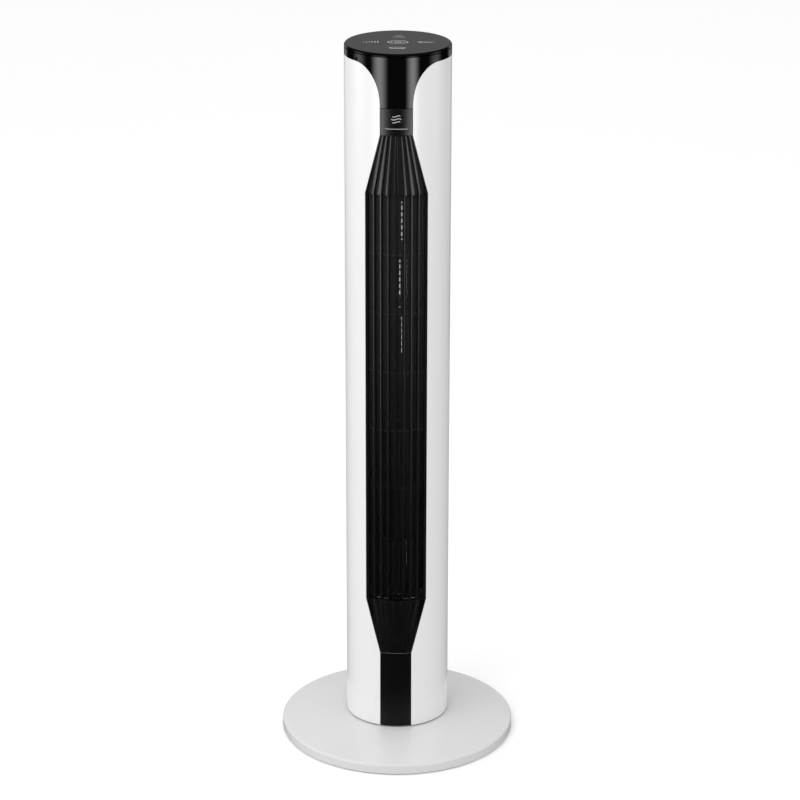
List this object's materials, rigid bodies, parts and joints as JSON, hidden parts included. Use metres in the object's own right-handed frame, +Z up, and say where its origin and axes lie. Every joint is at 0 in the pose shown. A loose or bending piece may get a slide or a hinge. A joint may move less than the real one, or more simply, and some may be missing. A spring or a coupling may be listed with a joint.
{
  "type": "tower fan",
  "caption": "Free-standing tower fan: a slim white column with a black bottle-shaped ribbed outlet and round touch top, swinging on a round weighted base",
  "frame": {"origin": "on the floor under the middle of the base, on the axis about which the column swings", "axes": "+Z up along the column, -Y out of the front where the air leaves, +X to the right of a viewer in front"},
  "size_m": [0.3, 0.3, 0.914],
  "materials": {
    "white_gloss": "glossy moulded white plastic",
    "black_gloss": "piano black",
    "black_satin": "satin black",
    "grey_plastic": "plain moulded",
    "steel": "zinc plated",
    "rubber": "matte",
    "nylon": "natural nylon",
    "circuit_board": "green circuit board"
  },
  "bodies": {
    "base": {"base_cover": "white_gloss", "base_bottom_plate": "grey_plastic", "base_weight": "steel", "pivot_post": "steel", "fixed_gear": "nylon", "slide_ring": "nylon", "post_washer": "steel", "post_clip": "steel", "cord_gland": "rubber", "base_foot_1": "rubber", "base_foot_2": "rubber", "base_foot_3": "rubber", "base_foot_4": "rubber", "base_foot_5": "rubber", "base_screw_1": "steel", "base_screw_2": "steel", "base_screw_3": "steel", "base_screw_4": "steel"},
    "column": {"badge_plate": "black_satin", "column_floor": "grey_plastic", "control_board": "circuit_board", "control_panel": "black_gloss", "duct_scroll": "grey_plastic", "duct_tongue": "grey_plastic", "front_grille": "black_satin", "front_shell": "white_gloss", "head_housing": "black_gloss", "lower_strip": "black_gloss", "motor_bracket": "grey_plastic", "motor_lower_cap": "steel", "motor_stator": "steel", "motor_upper_cap": "steel", "oscillation_motor": "steel", "power_board": "circuit_board", "rear_grille": "white_gloss", "rear_shell": "white_gloss", "shell_screw_1": "steel", "shell_screw_2": "steel", "shell_screw_3": "steel", "shell_screw_4": "steel", "upper_bearing": "nylon", "upper_bracket": "grey_plastic", "wiring_loom": "rubber"},
    "impeller": {"impeller_segment_1": "black_satin", "impeller_segment_2": "black_satin", "impeller_segment_3": "black_satin", "impeller_segment_4": "black_satin", "impeller_segment_5": "black_satin", "impeller_segment_6": "black_satin", "impeller_segment_7": "black_satin", "impeller_cap": "black_satin", "impeller_hub": "nylon", "motor_rotor": "steel"},
    "pinion": {"drive_pinion": "nylon"}
  },
  "joints": [
    {"name": "oscillation", "type": "hinge", "parent": "base", "child": "column", "pos_m": [0, 0, 0.028], "axis": [0, 0, 1], "range_deg": [-40, 40]},
    {"name": "impeller_spin", "type": "hinge", "parent": "column", "child": "impeller", "pos_m": [0, 0, 0.2], "axis": [0, 0, 1], "continuous": true},
    {"name": "pinion_spin", "type": "hinge", "parent": "column", "child": "pinion", "pos_m": [0, 0.04, 0.036], "axis": [0, 0, 1], "range_deg": [-120, 120]}
  ],
  "couplings": [
    {"joint": "pinion_spin", "follows": "oscillation", "ratio": 3}
  ]
}
